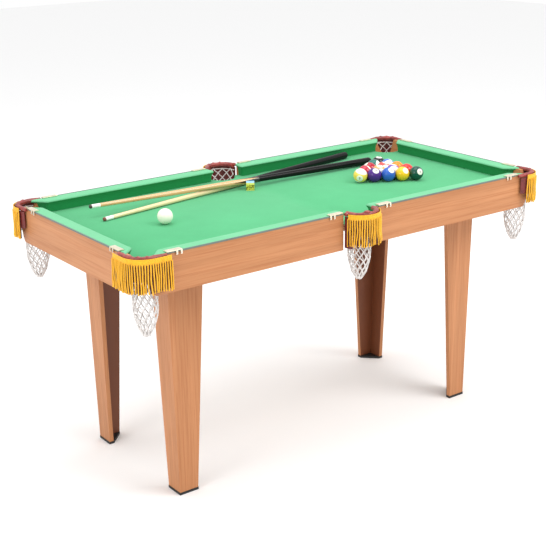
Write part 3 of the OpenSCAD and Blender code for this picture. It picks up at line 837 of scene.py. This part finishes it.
def fringe_tree():
    """Strands hung from points along an arc, swayed by a noise that grows downwards."""
    tree = node_tree("fringe_strands", [
        ("Count", "Int", 46), ("Drop", "Float", 0.066), ("Strand Radius", "Float", 0.0012),
        ("Sway", "Float", 0.006), ("Seed", "Int", 1), ("Finish", "Material", None)])
    n, l = tree.nodes, tree.links
    gi, go = n.new("NodeGroupInput"), n.new("NodeGroupOutput")
    curve = n.new("GeometryNodeMeshToCurve")
    points = n.new("GeometryNodeCurveToPoints")
    points.mode = "COUNT"
    strand = n.new("GeometryNodeCurvePrimitiveLine")
    strand.inputs["Start"].default_value = (0, 0, 0)
    end = n.new("ShaderNodeCombineXYZ")
    minus = n.new("ShaderNodeMath")
    minus.operation = "MULTIPLY"
    minus.inputs[1].default_value = -1.0
    resample = n.new("GeometryNodeResampleCurve")
    resample.inputs["Count"].default_value = 12
    hang = n.new("GeometryNodeInstanceOnPoints")
    length = n.new("FunctionNodeRandomValue")
    length.data_type = "FLOAT_VECTOR"
    length.inputs[0].default_value = (1, 1, 0.93)
    length.inputs[1].default_value = (1, 1, 1.0)
    real_a = n.new("GeometryNodeRealizeInstances")
    pos = n.new("GeometryNodeInputPosition")
    noise = n.new("ShaderNodeTexNoise")
    noise.noise_dimensions = "4D"
    noise.inputs["Scale"].default_value = 75.0
    noise.inputs["Detail"].default_value = 1.0
    centred = n.new("ShaderNodeVectorMath")
    centred.operation = "SUBTRACT"
    centred.inputs[1].default_value = (0.5, 0.5, 0.5)
    squash = n.new("ShaderNodeVectorMath")
    squash.operation = "MULTIPLY"
    squash.inputs[1].default_value = (1, 1, 0.35)
    spline = n.new("GeometryNodeSplineParameter")
    grow = n.new("ShaderNodeMath")
    grow.operation = "MULTIPLY"
    scale = n.new("ShaderNodeVectorMath")
    scale.operation = "SCALE"
    move = n.new("GeometryNodeSetPosition")
    circle = n.new("GeometryNodeCurvePrimitiveCircle")
    circle.inputs["Resolution"].default_value = 6
    sweep = n.new("GeometryNodeCurveToMesh")
    sweep.inputs["Fill Caps"].default_value = True
    real = n.new("GeometryNodeRealizeInstances")
    paint = n.new("GeometryNodeSetMaterial")
    stretch = n.new("ShaderNodeVectorMath")
    stretch.operation = "MULTIPLY"
    stretch.inputs[1].default_value = (1, 1, 0.3)
    l.new(gi.outputs["Geometry"], curve.inputs[0])
    l.new(curve.outputs[0], points.inputs[0])
    l.new(gi.outputs["Count"], points.inputs["Count"])
    l.new(gi.outputs["Drop"], minus.inputs[0])
    l.new(minus.outputs[0], end.inputs["Z"])
    l.new(end.outputs[0], strand.inputs["End"])
    l.new(strand.outputs[0], resample.inputs["Curve"])
    l.new(points.outputs["Points"], hang.inputs["Points"])
    l.new(resample.outputs[0], hang.inputs["Instance"])
    l.new(gi.outputs["Seed"], length.inputs["Seed"])
    l.new(length.outputs[0], hang.inputs["Scale"])
    l.new(hang.outputs[0], real_a.inputs[0])
    l.new(pos.outputs[0], stretch.inputs[0])
    l.new(stretch.outputs[0], noise.inputs["Vector"])
    l.new(gi.outputs["Seed"], noise.inputs["W"])
    l.new(noise.outputs["Color"], centred.inputs[0])
    l.new(centred.outputs[0], squash.inputs[0])
    l.new(spline.outputs["Factor"], grow.inputs[0])
    l.new(gi.outputs["Sway"], grow.inputs[1])
    l.new(squash.outputs[0], scale.inputs[0])
    l.new(grow.outputs[0], scale.inputs["Scale"])
    l.new(real_a.outputs[0], move.inputs["Geometry"])
    l.new(scale.outputs[0], move.inputs["Offset"])
    l.new(gi.outputs["Strand Radius"], circle.inputs["Radius"])
    l.new(move.outputs[0], sweep.inputs["Curve"])
    l.new(circle.outputs[0], sweep.inputs["Profile Curve"])
    l.new(sweep.outputs[0], real.inputs[0])
    l.new(real.outputs[0], paint.inputs[0])
    l.new(gi.outputs["Finish"], paint.inputs["Material"])
    l.new(paint.outputs[0], go.inputs[0])
    return tree


FRINGE_TREE = fringe_tree()
BAND_TOP, BAND_H = 0.6405, 0.013
FRINGE_R = 0.0497
FRINGE_FLARE = 0.0512
# Half angle of each fringe and how far it also runs along the iron's arms
FRINGE_REACH = {"front_left": (45, 0.0405), "front_middle": (72, 0), "front_right": (57, 0),
                "back_left": (62, 0), "back_middle": (72, 0), "back_right": (62, 0)}


def fringe_path(spot, count, radius):
    """Points along a fringe: the length so far, the place and the outward way."""
    half, arm = FRINGE_REACH[spot]
    half = math.radians(half)
    arc = half * FRINGE_R
    path = []
    for i in range(count):
        s = (arc + arm) * (2 * i / (count - 1) - 1)
        a = max(-half, min(half, s / FRINGE_R))
        extra = 0 if abs(s) <= arc else s - math.copysign(arc, s)
        out = Vector((math.cos(a), math.sin(a), 0))
        path.append((s, out * radius + Vector((-out.y, out.x, 0)) * extra, out))
    return path


def braid(spot):
    """The fringe's heading: a flat band with two rolled edges and crossing ridges."""
    along, up = 260, 15
    verts = []
    for s, place, out in fringe_path(spot, along, FRINGE_R):
        for j in range(up):
            v = j / (up - 1)
            fall = BAND_H * (1 - v)
            cross = abs(math.sin(s * 620 + v * 7)) * abs(math.sin(s * 620 - v * 7))
            edge = bell(v, 0.06, 0.09) + bell(v, 0.94, 0.09)
            p = place + out * (fall * FRINGE_FLARE + 0.0006 * cross + 0.0004 * edge)
            verts.append((p.x, p.y, BAND_TOP - fall))
    faces = loops_to_faces(along, up, closed=False)
    piece = new_piece("braid", verts, faces, GOLD)
    thick = piece.modifiers.new("thickness", "SOLIDIFY")
    thick.thickness = 0.0011
    thick.offset = 0
    deps = bpy.context.evaluated_depsgraph_get()
    mesh = bpy.data.meshes.new_from_object(piece.evaluated_get(deps), depsgraph=deps)
    solid = bpy.data.objects.new("braid_" + spot, mesh)
    bpy.context.scene.collection.objects.link(solid)
    bpy.data.objects.remove(piece, do_unlink=True)
    return solid


def fringe(spot):
    half, arm = FRINGE_REACH[spot]
    length = 2 * (math.radians(half) * FRINGE_R + arm)
    layers = [braid(spot)]
    # The second, inner layer of strands is painted shadow
    for seed, (radius, pitch, drop, thick, finish) in enumerate((
            (0.0519, 0.0054, 0.0685, 0.0017, GOLD), (0.0502, 0.0035, 0.066, 0.0016, GOLD_PAINTED_SHADE))):
        line = [place + Vector((0, 0, BAND_TOP - BAND_H + 0.002))
                for _, place, _ in fringe_path(spot, 90, radius)]
        base = line_mesh("fringe_line", [line])
        layers.append(grown("strands", base, FRINGE_TREE, {
            "Count": round(length / pitch), "Drop": drop, "Strand Radius": thick,
            "Sway": 0.012, "Seed": seed * 17 + len(spot) + ord(spot[0])}, finish))
    piece = joined("fringe_" + spot, layers)
    piece.data.transform(pocket_matrix(spot))
    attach(piece, "table")
    return piece


# ---- straps ----

# A strap's length, its reach in and out from the cabinet's face, and a prong's width
STRAP_L, STRAP_IN, STRAP_OUT, PRONG_W = 0.040, 0.0105, 0.0034, 0.0046
# Where straps start: beside a side pocket, and on the long and short side of a corner
STRAP_SIDE, STRAP_LONG, STRAP_SHORT = 0.055, 0.540, 0.223


def strap_places():
    """Transforms that put a strap at each of the twelve places; its length runs along +X
    and the cabinet's outer face is y = 0."""
    places = []
    for sx in (1, -1):
        for sy in (1, -1):
            flip = Matrix.Diagonal((sx, sy, 1, 1))
            places.append(flip @ Matrix.Translation((STRAP_SIDE, HALF_W, 0)))
            places.append(flip @ Matrix.Translation((STRAP_LONG, HALF_W, 0))
                          @ Matrix.Diagonal((-1, 1, 1, 1)))
            places.append(flip @ Matrix.Translation((HALF_L, STRAP_SHORT, 0))
                          @ Matrix.Rotation(-math.pi / 2, 4, "Z"))
    return places


def strap_shape():
    """A pressed brass strap with rounded edges and two turned-down prongs."""
    bm = bmesh.new()

    def plate(x0, x1, y0, y1, z0, z1):
        bmesh.ops.create_cube(bm, size=1, matrix=Matrix.Translation(
            ((x0 + x1) / 2, (y0 + y1) / 2, (z0 + z1) / 2)) @ Matrix.Diagonal(
            (x1 - x0, y1 - y0, z1 - z0, 1)))

    plate(0.0, STRAP_L, -STRAP_IN, STRAP_OUT, RAIL_H + 0.0005, RAIL_H + 0.0027)
    bmesh.ops.bevel(bm, geom=bm.edges[:], offset=0.0007, segments=2, affect="EDGES")
    for x in (STRAP_L - 0.016, STRAP_L - PRONG_W):
        plate(x, x + PRONG_W, STRAP_OUT - 0.0018, STRAP_OUT, RAIL_H - 0.0085, RAIL_H + 0.0010)
    mesh = bpy.data.meshes.new("strap")
    bm.to_mesh(mesh)
    bm.free()
    return mesh


def straps():
    shape = strap_shape()
    parts = []
    for place in strap_places():
        mesh = shape.copy()
        mesh.transform(place)
        if place.determinant() < 0:
            mesh.flip_normals()
        o = bpy.data.objects.new("strap", mesh)
        bpy.context.scene.collection.objects.link(o)
        mesh.materials.append(STRAP_BRASS)
        parts.append(o)
    piece = joined("iron_strap_set", parts)
    smooth_by_angle(piece, 35)
    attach(piece, "table")
    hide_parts("iron_straps")
    return piece


# ---- balls ----

PITCH = 0.0383
BALL_R = 0.019
BALL_Z = BED_TOP + BALL_R + 0.0003
RACK_AT, RACK_TURN = (0.3185, -0.0383), math.radians(-29.6)

WHITE = (0.88, 0.85, 0.76)
INK = {1: (0.93, 0.55, 0.02), 2: (0.03, 0.12, 0.52), 3: (0.72, 0.03, 0.03),
       4: (0.075, 0.018, 0.22), 5: (0.90, 0.26, 0.02), 6: (0.004, 0.075, 0.05),
       7: (0.42, 0.012, 0.03), 8: (0.006, 0.006, 0.007), 9: (0.90, 0.66, 0.10),
       10: (0.06, 0.18, 0.62), 11: (0.75, 0.06, 0.05), 12: (0.20, 0.10, 0.45),
       13: (0.90, 0.42, 0.12), 14: (0.01, 0.16, 0.13), 15: (0.50, 0.02, 0.05)}
# Row and place of each ball in the rack
RACK = {9: (0, 0), 4: (0, 1), 2: (0, 2), 1: (0, 3), 6: (0, 4), 15: (1, 0), 13: (1, 1),
        12: (1, 2), 3: (1, 3), 7: (2, 0), 11: (2, 1), 5: (2, 2), 14: (3, 0), 10: (3, 1),
        8: (4, 0)}
TO_EYE = Vector((-0.5629, -0.7639, 0.3156)).normalized()
EYE_RIGHT = Vector((0.8049, -0.5934, 0))
EYE_UP = TO_EYE.cross(EYE_RIGHT).normalized()


def facing(right, up, depth=1.0):
    """A direction given by how far right, up and towards the viewer's side it points."""
    return (EYE_RIGHT * right + EYE_UP * up + TO_EYE * depth).normalized()


NUMBER_FACES = {9: (-0.1, -0.3, 0.5), 4: (0.15, 0.5, 0.75), 2: (0.35, 0.5, 0.7),
                1: (0.45, 0.4, 0.85), 6: (0.45, 0.12, 0.85), 15: (-0.3, 0.2, -0.6),
                13: (0.1, 0.8, 0.5), 12: (0.2, 0.95, 0.2), 3: (0.6, 0.6, -0.2),
                7: (-0.5, 0.6, 0.2), 11: (0.3, 0.9, 0.3), 5: (0.0, 0.7, -0.6),
                14: (0.1, 0.8, -0.3), 10: (0.5, 0.9, 0.1), 8: (0.1, 0.9, 0.35)}
STRIPE_AXES = {9: (0.25, 0.95, 0.35), 15: (0.9, 0.3, 0.3), 13: (0.2, 0.2, 0.9),
               12: (0.2, 0.55, 0.8), 11: (0.5, 0.3, 0.8), 14: (0.9, 0.2, 0.3),
               10: (0.3, 0.2, 0.9)}


def rack_place(row, place):
    s = (place - (4 - row) / 2) * PITCH
    t = row * PITCH * math.sqrt(3) / 2
    c, k = math.cos(RACK_TURN), math.sin(RACK_TURN)
    return Vector((RACK_AT[0] + s * c - t * k, RACK_AT[1] + s * k + t * c, BALL_Z))


def ball_finish(name, centre, ink, number_way, stripe_way, kind):
    f = Finish(name, rough=0.09, spec=0.3, color=ink)
    p = f.object_coord((1 / BALL_R,) * 3, place=tuple(-c / BALL_R for c in centre))

    def along(way):
        d = f.add("ShaderNodeVectorMath", operation="DOT_PRODUCT")
        f.link(p, d.inputs[0])
        d.inputs[1].default_value = way
        return d.outputs["Value"]

    col = ink
    haze = f.noise(f.object_coord((1, 1, 1)), 45, detail=2)
    if kind == "stripe":
        cap = f.ramp(f.math("ABSOLUTE", along(stripe_way)),
                     [(0.555, (0, 0, 0)), (0.575, (1, 1, 1))])
        col = f.mix(cap, ink, WHITE)
    if kind != "cue":
        spot = f.ramp(along(number_way), [(0.885, (0, 0, 0)), (0.90, (1, 1, 1))])
        col = f.mix(spot, col, WHITE)
    tone = f.ramp(haze, [(0.3, (0.96,) * 3), (0.7, (1.02,) * 3)])
    f.color(f.mix(1.0, col, tone, "MULTIPLY"))
    f.roughness(f.ramp(haze, [(0.3, (0.07,) * 3), (0.7, (0.12,) * 3)]))
    f.bsdf.inputs["Coat Weight"].default_value = 0.2
    f.bsdf.inputs["Coat Roughness"].default_value = 0.04
    return f.mat


NUMERAL = plastic_finish("numeral_black", (0.01, 0.01, 0.012), 0.3)


def numeral(value, centre, way, top):
    """The ball's number as a thin raised print bent onto the sphere."""
    curve = bpy.data.curves.new("numeral", "FONT")
    curve.body = str(value)
    curve.size = 0.0105 if value < 10 else 0.0085
    curve.align_x = "CENTER"
    curve.align_y = "CENTER"
    curve.resolution_u = 3
    holder = bpy.data.objects.new("numeral", curve)
    bpy.context.scene.collection.objects.link(holder)
    bpy.context.view_layer.update()
    deps = bpy.context.evaluated_depsgraph_get()
    mesh = bpy.data.meshes.new_from_object(holder.evaluated_get(deps), depsgraph=deps)
    bpy.data.objects.remove(holder, do_unlink=True)
    bm = bmesh.new()
    bm.from_mesh(mesh)
    bmesh.ops.remove_doubles(bm, verts=bm.verts, dist=1e-6)
    bmesh.ops.triangulate(bm, faces=bm.faces)
    bmesh.ops.subdivide_edges(bm, edges=[e for e in bm.edges if e.calc_length() > 0.002],
                              cuts=1)
    right = top.cross(way).normalized()
    up = way.cross(right).normalized()
    lift = BALL_R + 0.00006
    for v in bm.verts:
        ax, ay = v.co.x / BALL_R, v.co.y / BALL_R
        d = (way + right * math.tan(ax) + up * math.tan(ay)).normalized()
        v.co = centre + d * lift
    bm.to_mesh(mesh)
    bm.free()
    mesh.materials.clear()
    mesh.materials.append(NUMERAL)
    piece = bpy.data.objects.new("numeral", mesh)
    bpy.context.scene.collection.objects.link(piece)
    return piece


def ball(name, centre, finish, body, value=None, way=None):
    bm = bmesh.new()
    bmesh.ops.create_uvsphere(bm, u_segments=64, v_segments=32, radius=BALL_R)
    bm.transform(Matrix.Translation(centre))
    mesh = bpy.data.meshes.new(name)
    bm.to_mesh(mesh)
    bm.free()
    mesh.materials.append(finish)
    mesh.polygons.foreach_set("use_smooth", [True] * len(mesh.polygons))
    piece = bpy.data.objects.new(name, mesh)
    bpy.context.scene.collection.objects.link(piece)
    if value:
        top = Vector((0, 0, 1)) if abs(way.z) < 0.85 else EYE_UP
        piece = joined(name, [piece, numeral(value, centre, way, top)])
    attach(piece, body)
    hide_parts(body)
    return piece


def balls():
    centre = Vector((-0.3687, -0.0125, BALL_Z))
    ball("cue_ball_shell", centre, ball_finish("ball_ivory", centre, (0.93, 0.90, 0.76),
                                               None, None, "cue"), "cue_ball")
    for value, (row, place) in RACK.items():
        centre = rack_place(row, place)
        way = facing(*NUMBER_FACES[value])
        stripe = None
        if value > 8:
            axis = facing(*STRIPE_AXES[value])
            stripe = (axis - way * axis.dot(way)).normalized()
        finish = ball_finish("ball_ink_%d" % value, centre, INK[value], tuple(way),
                             tuple(stripe) if stripe else None, "stripe" if stripe else "solid")
        ball("ball_%d_shell" % value, centre, finish, "ball_%d" % value, value, way)


# ---- cues ----

CUE_1 = (Vector((-0.481, 0.155, 0.6378)), Vector((0.416, 0.1455, 0.6216)))
CUE_2 = (Vector((-0.473, 0.1014, 0.6162)), Vector((0.412, 0.2468, 0.6216)))
CUE_R = (0.0048, 0.0078, 0.0102)
SPLICE = 0.56


def lathe(name, start, end, profile, materials, sides=40):
    """Turned piece from start to end. profile is (distance from start, radius, material)."""
    axis = (end - start).normalized()
    turn = axis.to_track_quat("Z", "Y").to_matrix()
    verts, uv = [], []
    for d, r, _ in profile:
        for j in range(sides):
            a = 2 * math.pi * j / sides
            p = turn @ Vector((r * math.cos(a), r * math.sin(a), d))
            verts.append(start + p)
            uv.append((d, j / sides))
    faces = loops_to_faces(len(profile), sides)
    index = [profile[i][2] for i in range(len(profile) - 1) for _ in range(sides)]
    faces.append(tuple(range(sides)))
    index.append(profile[0][2])
    faces.append(tuple(range(len(verts) - sides, len(verts))))
    index.append(profile[-1][2])
    piece = new_piece(name, verts, faces, materials, tidy=False)
    mesh = piece.data
    mesh.polygons.foreach_set("material_index", index)
    layer = mesh.uv_layers.new(name="UVMap")
    for poly in mesh.polygons:
        ring = [uv[v] for v in poly.vertices]
        wrap = max(c[1] for c in ring) - min(c[1] for c in ring) > 0.5
        for loop, c in zip(poly.loop_indices, ring):
            layer.data[loop].uv = (c[0], c[1] + 1 if wrap and c[1] < 0.5 else c[1])
    bm = bmesh.new()
    bm.from_mesh(mesh)
    bmesh.ops.recalc_face_normals(bm, faces=bm.faces)
    bm.to_mesh(mesh)
    bm.free()
    smooth_by_angle(piece, 40)
    return piece


def shaft_finish(name, light, dark, splice_at, reach):
    """Lacquered maple with dark points running forward from the splice."""
    f = Finish(name, rough=0.22, spec=0.5)
    uv = f.xyz(f.uv())
    grain = f.noise(f.uv((14, 40, 1)), 3, detail=5, rough=0.6)
    wood = f.ramp(grain, [(0.3, dark), (0.7, light)])
    turn = f.math("FRACT", f.math("MULTIPLY", uv[1], 4.0))
    saw = f.math("ABSOLUTE", f.math("SUBTRACT", turn, 0.5))
    edge = f.math("SUBTRACT", splice_at, f.math("MULTIPLY", saw, reach * 2))
    black = f.math("GREATER_THAN", uv[0], edge)
    f.color(f.mix(black, wood, (0.012, 0.012, 0.012)))
    f.bsdf.inputs["Coat Weight"].default_value = 0.5
    f.bsdf.inputs["Coat Roughness"].default_value = 0.12
    f.bump(grain, 0.05, 0.0003)
    return f.mat


def butt_finish():
    f = Finish("butt_black", rough=0.3, color=(0.004, 0.004, 0.004), spec=0.15)
    n = f.noise(f.uv((30, 8, 1)), 4, detail=3)
    f.color(f.mix(n, (0.003, 0.003, 0.003), (0.006, 0.006, 0.006)))
    f.roughness(f.ramp(n, [(0.3, (0.18,) * 3), (0.7, (0.28,) * 3)]))
    f.bsdf.inputs["Coat Weight"].default_value = 0.08
    f.bsdf.inputs["Coat Roughness"].default_value = 0.1
    return f.mat


FERRULE = plastic_finish("ferrule_white", (0.88, 0.87, 0.84), 0.3)
TIP_DARK = leather_finish("tip_dark", (0.060, 0.035, 0.028), (0.025, 0.015, 0.012), 0.7)
TIP_BROWN = leather_finish("tip_brown", (0.24, 0.075, 0.045), (0.14, 0.04, 0.025), 0.7)
BUTT = butt_finish()


def cue(name, ends, light, dark, tip_finish, body):
    start, end = ends
    length = (end - start).length
    r0, r1, r2 = CUE_R
    splice = SPLICE * length
    wood = shaft_finish(name + "_maple", light, dark, splice, 0.085)
    profile = [(0, 0.0004, 1), (0.0003, r0 * 0.55, 1), (0.0012, r0 * 0.88, 1), (0.0024, r0, 1),
               (0.0060, r0, 1), (0.0061, r0 + 0.00002, 2), (0.0290, r0 + 0.0001, 2),
               (0.0291, r0 + 0.00012, 0)]
    for i in range(1, 13):
        t = i / 12
        profile.append((0.0291 + (splice - 0.0291) * t, r0 + 0.00012 + (r1 - r0 - 0.00012) * t, 0))
    shaft = lathe(name + "_shaft_turned", start, end, profile, [wood, tip_finish, FERRULE])
    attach(shaft, body)
    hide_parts(name + "_shaft")
    profile = [(splice + 0.00005, r1, 0)]
    for i in range(1, 9):
        t = i / 8
        profile.append((splice + (length - r2 - splice) * t, r1 + (r2 - r1) * t, 0))
    for i in range(1, 10):
        a = math.pi / 2 * i / 9
        profile.append((length - r2 + r2 * math.sin(a), max(r2 * math.cos(a), 0.0003), 0))
    butt = lathe(name + "_butt_turned", start, end, profile, [BUTT])
    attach(butt, body)
    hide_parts(name + "_butt")


# ---- chalk ----

CHALK_AT, CHALK_W, CHALK_TURN = (-0.021, 0.1256), 0.022, math.radians(-35)


def chalk():
    """Chalk cube: a worn dish in its top and a paper label round its sides."""
    top = Finish("chalk_blue", rough=0.95, spec=0.1)
    grit = top.noise(top.object_coord((1, 1, 1)), 700, detail=4, rough=0.7)
    top.color(top.ramp(grit, [(0.35, (0.20, 0.42, 0.66)), (0.7, (0.36, 0.60, 0.82))]))
    top.bump(grit, 0.6, 0.0006)
    label = Finish("chalk_label", rough=0.6, spec=0.3)
    z = label.xyz(label.object_coord((1, 1, 1)))[2]
    rise = label.math("MULTIPLY", label.math("SUBTRACT", z, BED_TOP), 1 / CHALK_W)
    blot = label.noise(label.object_coord((1, 1, 1)), 260, detail=2, rough=0.6, distort=1.0)
    paper = label.ramp(blot, [(0.42, (0.10, 0.10, 0.02)), (0.50, (0.66, 0.60, 0.06)),
                              (0.7, (0.86, 0.82, 0.16))])
    band = label.ramp(rise, [(0.0, (0, 0, 0)), (0.10, (1, 1, 1)), (0.74, (0, 0, 0))], "CONSTANT")
    label.color(label.mix(band, (0.90, 0.86, 0.22), paper))
    n = 15
    verts, faces = [], []
    w = CHALK_W / 2 - 0.0002
    for i in range(n):
        for j in range(n):
            x, y = -w + 2 * w * i / (n - 1), -w + 2 * w * j / (n - 1)
            d = math.hypot(x, y)
            dish = 0.0018 * max(0, 1 - (d / 0.0085) ** 2)
            worn = 0.0006 * max(0, (max(abs(x), abs(y)) - 0.0095) / 0.0013)
            verts.append((x, y, CHALK_W - 0.0002 - dish - worn))
    for i in range(n - 1):
        for j in range(n - 1):
            faces.append((i * n + j, (i + 1) * n + j, (i + 1) * n + j + 1, i * n + j + 1))
    rim = ([i * n for i in range(n)] + [(n - 1) * n + j for j in range(1, n)]
           + [i * n + n - 1 for i in range(n - 2, -1, -1)] + [j for j in range(n - 2, 0, -1)])
    base = len(verts)
    for z in (CHALK_W - 0.0012, 0.0012, 0.0):
        for r in rim:
            x, y, _ = verts[r]
            k = 1.0 if z else 0.96
            verts.append((x * k, y * k, z))
    m = len(rim)
    for i in range(m):
        k = (i + 1) % m
        faces.append((rim[i], rim[k], base + k, base + i))
        for lev in (0, 1):
            a = base + lev * m
            faces.append((a + i, a + k, a + m + k, a + m + i))
    faces.append(tuple(base + 2 * m + i for i in range(m)))
    piece = new_piece("chalk_cube", verts, faces, [top.mat, label.mat], tidy=True)
    for poly in piece.data.polygons:
        poly.material_index = 0 if poly.center.z > CHALK_W - 0.0035 and poly.normal.z > 0.3 else 1
    piece.data.transform(Matrix.Translation((*CHALK_AT, BED_TOP + 0.0003))
                         @ Matrix.Rotation(CHALK_TURN, 4, "Z"))
    smooth_by_angle(piece, 35)
    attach(piece, "chalk")
    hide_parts("chalk")


# ---- build ----

bed_cloth()
cushions()
for spot in POCKETS:
    iron(spot)
    net(spot)
fringes = [fringe(spot) for spot in POCKETS]
for piece in fringes:
    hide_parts("pocket_fringes")
straps()
balls()
cue("cue_1", CUE_1, (0.70, 0.44, 0.20), (0.60, 0.35, 0.15), TIP_DARK, "cue_1")
cue("cue_2", CUE_2, (0.84, 0.68, 0.40), (0.76, 0.58, 0.31), TIP_BROWN, "cue_2")
chalk()


# ---- floor, light and camera ----

floor_mesh = bpy.data.meshes.new("floor")
floor_mesh.from_pydata([(-9, -7, 0), (9, -7, 0), (9, 11, 0), (-9, 11, 0)], [], [(0, 1, 2, 3)])
floor = bpy.data.objects.new("floor", floor_mesh)
bpy.context.scene.collection.objects.link(floor)
pale = Finish("floor_pale", rough=0.9, spec=0.1, color=(0.93, 0.93, 0.93))
floor_mesh.materials.append(pale.mat)

world = bpy.data.worlds.new("studio")
bpy.context.scene.world = world
world.use_nodes = True
world.node_tree.nodes["Background"].inputs[0].default_value = (1, 1, 1, 1)
world.node_tree.nodes["Background"].inputs[1].default_value = 1.0


def softbox(name, place, aim, size, power):
    data = bpy.data.lights.new(name, "AREA")
    data.shape = "RECTANGLE"
    data.size, data.size_y = size
    data.energy = power
    lamp = bpy.data.objects.new(name, data)
    lamp.location = place
    lamp.rotation_euler = (Vector(aim) - Vector(place)).to_track_quat("-Z", "Y").to_euler()
    bpy.context.scene.collection.objects.link(lamp)


softbox("key_softbox", (1.4, -2.2, 3.0), (0, 0, 0.5), (2.0, 1.6), 60)
softbox("left_softbox", (-3.0, -0.6, 1.9), (0, 0, 0.5), (1.4, 1.6), 22)
softbox("top_softbox", (0, 0.4, 3.4), (0, 0, 0.6), (2.6, 2.0), 40)

camera_data = bpy.data.cameras.new("camera")
camera_data.lens = 77.557
camera_data.sensor_width = 36
camera = bpy.data.objects.new("camera", camera_data)
bpy.context.scene.collection.objects.link(camera)
bpy.context.scene.camera = camera
az, el, roll = math.radians(-36.3995), math.radians(18.3972), math.radians(-0.8489)
back = Vector((math.sin(az) * math.cos(el), -math.cos(az) * math.cos(el), math.sin(el)))
right = Vector((math.cos(az), math.sin(az), 0))
up = back.cross(right)
right_r = right * math.cos(roll) + up * math.sin(roll)
up_r = up * math.cos(roll) - right * math.sin(roll)
camera.matrix_world = Matrix(((right_r.x, up_r.x, back.x, -1.7633),
                              (right_r.y, up_r.y, back.y, -2.3327),
                              (right_r.z, up_r.z, back.z, 1.3807), (0, 0, 0, 1)))

bpy.context.scene.view_settings.view_transform = "Standard"
